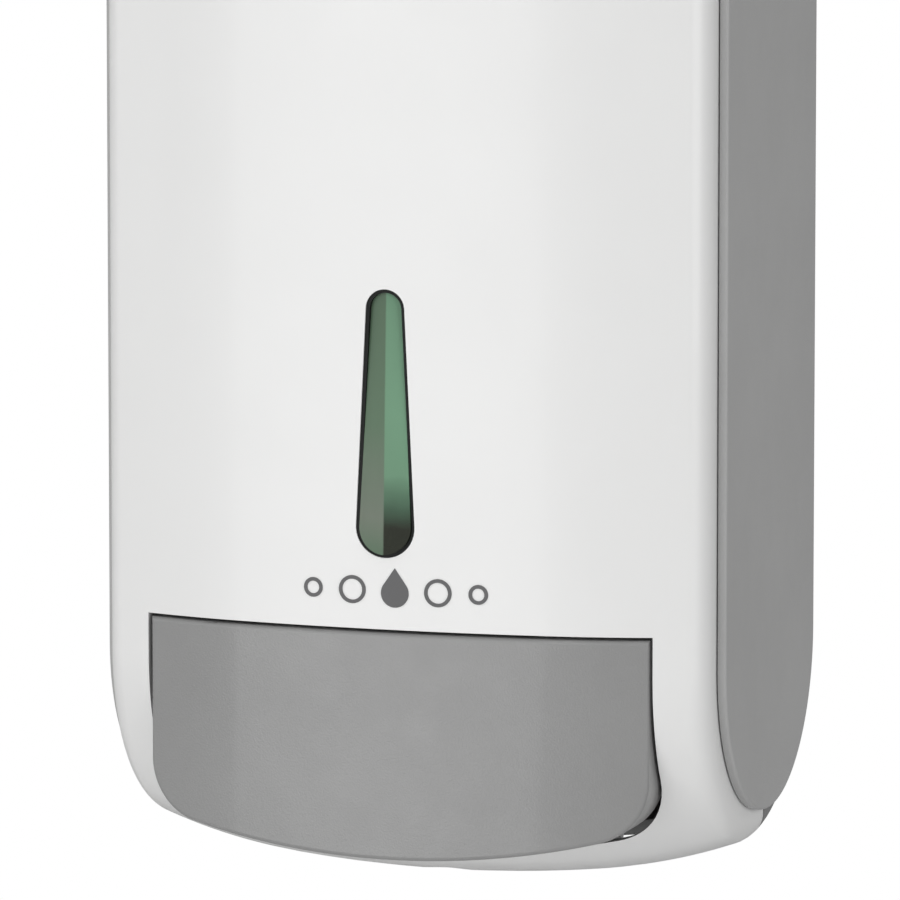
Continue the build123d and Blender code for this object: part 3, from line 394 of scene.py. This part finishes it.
@dataclass
class Finishes:
    """Every finish of the dispenser, made once."""

    def __post_init__(self) -> None:
        """Build all materials."""
        grey = (1.0, 1.0, 0.995)
        self.made = {finish.name: finish.build() for finish in (
            Finish("white_abs", shade(0.86, (1.0, 1.0, 0.993)), 0.34, Grain.SATIN, coat=0.15,
                   wash=0.006),
            Finish("grey_abs", shade(0.430, grey), 0.50, Grain.SPARKED, wash=0.03),
            # Rear housing: a darker copy of grey_abs, painted shade for where it sits behind the
            # cover and cheeks.
            Finish("grey_abs_painted_shade", shade(0.235, grey), 0.52, Grain.SPARKED, wash=0.03),
            Finish("lever_abs", shade(0.285, grey), 0.36, Grain.SPARKED, coat=0.2, wash=0.03),
            Finish("seal_rubber", shade(0.004, (0.7, 1.0, 0.8)), 0.28, Grain.SATIN,
                   specular=0.12),
            Finish("print_grey", shade(0.125, (1.0, 1.0, 1.02)), 0.55, Grain.SATIN, wash=0.05),
            Finish("inner_abs", shade(0.74, (1.0, 0.995, 0.97)), 0.42, Grain.SATIN, wash=0.02),
            Finish("tank_pp", shade(0.80, (0.97, 1.0, 0.985)), 0.36, Grain.SATIN, coat=0.1,
                   see_through=0.45),
            Finish("pump_pom", shade(0.80, (1.0, 0.995, 0.96)), 0.30, Grain.SATIN, coat=0.1),
            Finish("silicone", shade(0.62, (0.98, 1.0, 0.99)), 0.48, Grain.SATIN,
                   see_through=0.25),
            Finish("pin_steel", shade(0.56), 0.26, Grain.BRUSHED, metallic=1.0, wash=0.04),
            Finish("screw_steel", shade(0.52, (1.0, 1.0, 1.02)), 0.32, Grain.BRUSHED,
                   metallic=1.0, wash=0.06),
            Finish("plate_steel", shade(0.54), 0.34, Grain.BRUSHED, metallic=1.0, wash=0.04),
            Finish("lock_chrome", shade(0.72), 0.10, Grain.POLISHED, metallic=1.0),
            Finish("floor_paint", shade(0.80), 0.60, Grain.SATIN),
        )}

    def __getitem__(self, name: str) -> bpy.types.Material:
        """The material of that name."""
        return self.made[name]


def smooth_copy(node: bpy.types.Object, name: str, angle: float = SMOOTH_ANGLE,
                ) -> bpy.types.Object:
    """A welded copy of a CAD node with smooth shading up to an angle.

    Args:
        node: the CAD node's object.
        name: name of the new piece.
        angle: edges sharper than this many degrees stay crisp.

    Returns:
        The new object at the origin.
    """
    work = bmesh.new()
    work.from_mesh(node.data)
    bmesh.ops.remove_doubles(work, verts=work.verts, dist=WELD_DISTANCE)
    bmesh.ops.dissolve_degenerate(work, edges=work.edges, dist=SLIVER_EDGE)
    for face in work.faces:
        face.smooth = True
    limit = math.radians(angle)
    for edge in work.edges:
        edge.smooth = len(edge.link_faces) == 2 and edge.calc_face_angle(0.0) < limit
    mesh = bpy.data.meshes.new(name)
    work.to_mesh(mesh)
    work.free()
    mesh.materials.clear()
    piece = bpy.data.objects.new(name, mesh)
    bpy.context.scene.collection.objects.link(piece)
    return piece


def dress(piece: bpy.types.Object, material: bpy.types.Material) -> None:
    """Give a piece one material in every slot."""
    if not piece.data.materials:
        piece.data.materials.append(material)
    for index in range(len(piece.data.materials)):
        piece.data.materials[index] = material


@dataclass
class Assembly:
    """A group of CAD nodes that are dressed together.

    Attributes:
        nodes: the frame's CAD nodes by name.
        finishes: the materials.
        coats: which finish each node of this group has.
    """

    nodes: dict[str, bpy.types.Object]
    finishes: Finishes
    coats: dict[str, str] = field(default_factory=dict)

    def dress_nodes(self) -> None:
        """Give every CAD node of the group its finish."""
        for name, finish in self.coats.items():
            dress(self.nodes[name], self.finishes[finish])
            log.info("dressed %s with %s", name, finish)

    def shell(self, node: str, body: str, slot: str, finish: str, angle: float = SMOOTH_ANGLE,
              ) -> bpy.types.Object:
        """Stand a welded, smoothly shaded piece in for a CAD node.

        Args:
            node: the CAD node it stands for.
            body: the body it rides on.
            slot: the record's material slot; not used.
            finish: the finish it gets.
            angle: smoothing angle in degrees.

        Returns:
            The new piece.
        """
        piece = smooth_copy(self.nodes[node], node + "_shell", angle)
        dress(piece, self.finishes[finish])
        even = piece.modifiers.new("even_shading", "WEIGHTED_NORMAL")
        even.keep_sharp = True
        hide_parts(node)
        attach(piece, body)
        log.info("shell %s has %d faces", piece.name, len(piece.data.polygons))
        return piece


@dataclass
class CoverGroup(Assembly):
    """White cover with its window, sign, lock sleeve and lever pins."""

    coats: dict[str, str] = field(default_factory=lambda: {
        "window_gasket": "seal_rubber", "window_retainer": "inner_abs",
        "lock_housing": "inner_abs", "lock_nut": "pin_steel",
        "lever_pins": "pin_steel", "soap_pictogram": "print_grey"})

    def build(self) -> None:
        """Dress the cover's pieces and make its shell and lens."""
        self.dress_nodes()
        self.shell("front_cover", "cover", "white_abs", "white_abs", COVER_ANGLE)
        low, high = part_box("window_lens")
        lens = LensFinish().build((low[0] + high[0]) / 2, low[2], high[2])
        dress(self.nodes["window_lens"], lens)


@dataclass
class HousingGroup(Assembly):
    """Rear housing, cheeks, shelf, keeper and their screws."""

    coats: dict[str, str] = field(default_factory=lambda: {
        "cheek_screws": "screw_steel", "bracket_screws": "screw_steel",
        "latch_keeper": "plate_steel", "keeper_screws": "screw_steel",
        "cover_hinge_pins": "pin_steel", "pump_bracket": "inner_abs"})

    def build(self) -> None:
        """Dress the housing's pieces and make its shells."""
        self.dress_nodes()
        # The rear housing gets the darker copy of the grey ABS, painted shade.
        self.shell("rear_housing", "base", "grey_abs", "grey_abs_painted_shade")
        self.shell("left_cheek", "base", "grey_abs", "grey_abs", CHEEK_ANGLE)
        self.shell("right_cheek", "base", "grey_abs", "grey_abs", CHEEK_ANGLE)


@dataclass
class LeverGroup(Assembly):
    """Push lever with the fork behind it."""

    coats: dict[str, str] = field(default_factory=lambda: {
        "pump_fork": "pump_pom", "fork_screws": "screw_steel"})

    def build(self) -> None:
        """Dress the fork and make the lever's shell."""
        self.dress_nodes()
        self.shell("push_lever", "lever", "lever_abs", "lever_abs", LEVER_ANGLE)


@dataclass
class LockGroup(Assembly):
    """Turning part of the lock."""

    coats: dict[str, str] = field(default_factory=lambda: {
        "lock_barrel": "lock_chrome", "lock_cam": "plate_steel", "cam_screw": "screw_steel"})

    def build(self) -> None:
        """Dress the lock's pieces."""
        self.dress_nodes()


@dataclass
class GeometryTree(TreeEditor):
    """A Geometry Nodes tree with named inputs that is run once into a plain mesh.

    Attributes:
        name: name of the tree and of the piece it makes.
        sizes: input names and their values.
        material: the finish that Set Material gives.
    """

    name: str
    sizes: dict[str, float | int | Vector]
    material: bpy.types.Material

    def __post_init__(self) -> None:
        """Make the tree with its inputs and outputs."""
        self.tree = bpy.data.node_groups.new(self.name, "GeometryNodeTree")
        face = self.tree.interface
        face.new_socket("Geometry", in_out="INPUT", socket_type="NodeSocketGeometry")
        face.new_socket("Geometry", in_out="OUTPUT", socket_type="NodeSocketGeometry")
        kinds = {int: "NodeSocketInt", float: "NodeSocketFloat", Vector: "NodeSocketVector"}
        self.keys: dict[str, str] = {}
        for label, value in self.sizes.items():
            socket = face.new_socket(label, in_out="INPUT", socket_type=kinds[type(value)])
            self.keys[label] = socket.identifier
        self.source = self.add("NodeGroupInput")
        self.sink = self.add("NodeGroupOutput")

    def finish(self, last: bpy.types.Node, out: str) -> bpy.types.Object:
        """End the tree and run it.

        Args:
            last: the node whose geometry is kept.
            out: its geometry output.

        Returns:
            A plain mesh object at the origin.
        """
        smooth = self.add("GeometryNodeSetShadeSmooth")
        real = self.add("GeometryNodeRealizeInstances")
        paint = self.add("GeometryNodeSetMaterial")
        paint.inputs["Material"].default_value = self.material
        self.link(last, out, smooth, "Geometry")
        self.link(smooth, "Geometry", real, "Geometry")
        self.link(real, "Geometry", paint, "Geometry")
        self.link(paint, "Geometry", self.sink, "Geometry")
        holder = bpy.data.objects.new(self.name, bpy.data.meshes.new(self.name + "_start"))
        bpy.context.scene.collection.objects.link(holder)
        modifier = holder.modifiers.new(self.name, "NODES")
        modifier.node_group = self.tree
        for label, value in self.sizes.items():
            modifier[self.keys[label]] = value
        holder.update_tag()
        bpy.context.view_layer.update()
        graph = bpy.context.evaluated_depsgraph_get()
        mesh = bpy.data.meshes.new_from_object(holder.evaluated_get(graph),
                                               preserve_all_data_layers=True, depsgraph=graph)
        holder.modifiers.remove(modifier)
        holder.data = mesh
        if not mesh.materials:
            mesh.materials.append(self.material)
        return holder


@dataclass
class PumpGroup(Assembly):
    """Tank, pump, plunger and spout."""

    turns: float = 7.0
    wire: float = 0.5 * MM
    mark_count: int = 11
    mark_pitch: float = 10.0 * MM
    mark_size: tuple[float, float, float] = (9.0 * MM, 0.5 * MM, 0.8 * MM)
    mark_x: float = 12.0 * MM
    mark_lift: float = 12.0 * MM
    mark_sink: float = 0.05 * MM
    mark_bevel: float = 0.15 * MM
    coil_steps: int = 36
    wire_sides: int = 12
    coats: dict[str, str] = field(default_factory=lambda: {
        "reservoir_tank": "tank_pp", "lid_seal": "silicone", "tank_lid": "inner_abs",
        "neck_washer": "silicone", "pump_body": "pump_pom", "inlet_valve": "pump_pom",
        "inlet_ball": "pin_steel", "collar_nut": "inner_abs", "plunger": "pump_pom",
        "piston_seal": "seal_rubber", "nozzle": "silicone", "outlet_valve": "silicone"})

    def build(self) -> None:
        """Dress the pump and make its spring and the tank's level marks."""
        self.dress_nodes()
        self.spring()
        self.level_marks()

    def spring(self) -> bpy.types.Object:
        """Coil the return spring round the stem and stand it in for the CAD one."""
        low, high = (Vector(corner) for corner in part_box("pump_spring"))
        radius = (high.x - low.x) / 2 - self.wire
        foot = Vector(((low.x + high.x) / 2, (low.y + high.y) / 2, low.z + self.wire))
        tree = GeometryTree("return_spring", {
            "Turns": self.turns, "Coil radius": radius, "Wire radius": self.wire,
            "Height": high.z - low.z - 2 * self.wire, "Place": foot}, self.finishes["pin_steel"])
        coil = tree.add("GeometryNodeCurveSpiral")
        coil.inputs["Resolution"].default_value = self.coil_steps
        tree.link(tree.source, "Turns", coil, "Rotations")
        tree.link(tree.source, "Coil radius", coil, "Start Radius")
        tree.link(tree.source, "Coil radius", coil, "End Radius")
        tree.link(tree.source, "Height", coil, "Height")
        ring = tree.add("GeometryNodeCurvePrimitiveCircle")
        ring.inputs["Resolution"].default_value = self.wire_sides
        tree.link(tree.source, "Wire radius", ring, "Radius")
        tube = tree.add("GeometryNodeCurveToMesh")
        tube.inputs["Fill Caps"].default_value = True
        tree.link(coil, "Curve", tube, "Curve")
        tree.link(ring, "Curve", tube, "Profile Curve")
        move = tree.add("GeometryNodeTransform")
        tree.link(tube, "Mesh", move, "Geometry")
        tree.link(tree.source, "Place", move, "Translation")
        piece = tree.finish(move, "Geometry")
        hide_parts("pump_spring")
        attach(piece, "base")
        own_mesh(piece)
        log.info("coiled the spring with %d faces", len(piece.data.polygons))
        return piece

    def level_marks(self) -> bpy.types.Object:
        """Moulded level marks up the front of the tank, beside the sight window."""
        low = Vector(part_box("reservoir_tank")[0])
        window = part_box("window_lens")[0]
        tree = GeometryTree("tank_level_marks", {
            "Count": self.mark_count, "Pitch": Vector((0.0, 0.0, self.mark_pitch)),
            "First": Vector((self.mark_x, low.y + self.mark_sink, window[2] + self.mark_lift)),
            "Bar": Vector(self.mark_size)}, self.finishes["tank_pp"])
        line = tree.add("GeometryNodeMeshLine")
        tree.link(tree.source, "Count", line, "Count")
        tree.link(tree.source, "First", line, "Start Location")
        tree.link(tree.source, "Pitch", line, "Offset")
        bar = tree.add("GeometryNodeMeshCube")
        tree.link(tree.source, "Bar", bar, "Size")
        copies = tree.add("GeometryNodeInstanceOnPoints")
        tree.link(line, "Mesh", copies, "Points")
        tree.link(bar, "Mesh", copies, "Instance")
        piece = tree.finish(copies, "Instances")
        for polygon in piece.data.polygons:
            polygon.use_smooth = False
        bevel = piece.modifiers.new("soft_edges", "BEVEL")
        bevel.width = self.mark_bevel
        bevel.segments = 2
        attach(piece, "base")
        log.info("made %d level marks", self.mark_count)
        return piece


@dataclass
class Lamp:
    """One soft area light that looks at the dispenser.

    Attributes:
        name: its name.
        place: where it stands, in metres.
        size: edge length in metres.
        power: watts.
    """

    name: str
    place: tuple[float, float, float]
    size: float
    power: float

    def build(self, target: Vector) -> bpy.types.Object:
        """Make the lamp and turn it to the target."""
        data = bpy.data.lights.new(self.name, "AREA")
        data.shape = "RECTANGLE"
        data.size = self.size
        data.size_y = self.size
        data.energy = self.power
        lamp = bpy.data.objects.new(self.name, data)
        lamp.location = self.place
        lamp.rotation_euler = (target - Vector(self.place)).to_track_quat("-Z", "Y").to_euler()
        bpy.context.scene.collection.objects.link(lamp)
        return lamp


@dataclass
class Studio:
    """Pale floor, white surroundings, lamps and the camera."""

    azimuth: float = math.radians(17.664)
    pitch: float = math.radians(8.139)
    distance: float = 1.8535
    lens: float = 389.69
    aim: tuple[float, float, float] = (0.00756, -0.06434, -0.03682)
    sensor: float = 36.0
    clip_near: float = 0.05
    clip_far: float = 50.0
    floor_y: float = -0.4
    floor_z: float = -1.15
    floor_size: float = 1.6
    sky_low: float = 0.12
    sky_high: float = 0.52
    sky_band: float = 0.7
    lamp_target: tuple[float, float, float] = (0.0, -0.04, 0.0)
    lamps: tuple[Lamp, ...] = (
        Lamp("key_lamp", (-0.45, -1.45, 0.75), 1.1, 4.8),
        Lamp("sheen_lamp", (-0.50, -1.55, -0.24), 0.85, 6.1),
        Lamp("side_lamp", (1.5, -0.85, 0.25), 1.0, 8.5),
        Lamp("fill_lamp", (-1.5, -0.75, 0.2), 0.9, 2.6),
    )

    def build(self, finishes: Finishes) -> None:
        """Set up floor, world, lamps and camera."""
        self.floor(finishes["floor_paint"])
        self.world()
        for lamp in self.lamps:
            lamp.build(Vector(self.lamp_target))
        self.camera()

    def floor(self, material: bpy.types.Material) -> None:
        """Lay a pale floor well below the dispenser."""
        work = bmesh.new()
        bmesh.ops.create_grid(work, x_segments=4, y_segments=4, size=self.floor_size,
                              matrix=Matrix.Translation((0.0, self.floor_y, self.floor_z)))
        mesh = bpy.data.meshes.new("studio_floor")
        work.to_mesh(mesh)
        work.free()
        mesh.materials.append(material)
        piece = bpy.data.objects.new("studio_floor", mesh)
        bpy.context.scene.collection.objects.link(piece)

    def world(self) -> None:
        """White to the camera; as a light, grey and brighter towards the top."""
        scene = bpy.context.scene
        world = bpy.data.worlds.new("studio_white")
        scene.world = world
        world.use_nodes = True
        tree = world.node_tree
        tree.nodes.clear()
        out = tree.nodes.new("ShaderNodeOutputWorld")
        seen = tree.nodes.new("ShaderNodeBackground")
        lit = tree.nodes.new("ShaderNodeBackground")
        seen.inputs["Color"].default_value = (1.0, 1.0, 1.0, 1.0)
        seen.inputs["Strength"].default_value = 1.0
        lit.inputs["Strength"].default_value = 1.0
        place = tree.nodes.new("ShaderNodeTexCoord")
        parts = tree.nodes.new("ShaderNodeSeparateXYZ")
        rise = tree.nodes.new("ShaderNodeMapRange")
        rise.inputs["From Min"].default_value = -self.sky_band
        rise.inputs["From Max"].default_value = self.sky_band
        rise.inputs["To Min"].default_value = self.sky_low
        rise.inputs["To Max"].default_value = self.sky_high
        tree.links.new(place.outputs["Generated"], parts.inputs["Vector"])
        tree.links.new(parts.outputs["Z"], rise.inputs["Value"])
        tree.links.new(rise.outputs["Result"], lit.inputs["Color"])
        path = tree.nodes.new("ShaderNodeLightPath")
        mix = tree.nodes.new("ShaderNodeMixShader")
        tree.links.new(path.outputs["Is Camera Ray"], mix.inputs["Fac"])
        tree.links.new(lit.outputs["Background"], mix.inputs[1])
        tree.links.new(seen.outputs["Background"], mix.inputs[2])
        tree.links.new(mix.outputs["Shader"], out.inputs["Surface"])
        scene.view_settings.view_transform = "Standard"
        scene.view_settings.look = "None"

    def camera(self) -> None:
        """Stand the camera to the right of the dispenser, a little above it."""
        forward = Vector((-math.sin(self.azimuth) * math.cos(self.pitch),
                          math.cos(self.azimuth) * math.cos(self.pitch),
                          -math.sin(self.pitch)))
        data = bpy.data.cameras.new("camera")
        data.lens = self.lens
        data.sensor_width = self.sensor
        data.clip_start = self.clip_near
        data.clip_end = self.clip_far
        camera = bpy.data.objects.new("camera", data)
        camera.location = Vector(self.aim) - forward * self.distance
        camera.rotation_euler = forward.to_track_quat("-Z", "Y").to_euler()
        bpy.context.scene.collection.objects.link(camera)
        bpy.context.scene.camera = camera


def main() -> None:
    """Dress the frame, make the pieces and light them."""
    logging.basicConfig(level=logging.INFO, format="%(name)s: %(message)s")
    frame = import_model()
    nodes = frame["nodes"]
    finishes = Finishes()
    for group in (HousingGroup, CoverGroup, LeverGroup, PumpGroup, LockGroup):
        group(nodes, finishes).build()
        log.info("finished %s", group.__name__)
    Studio().build(finishes)


if __name__ == "__main__":
    main()
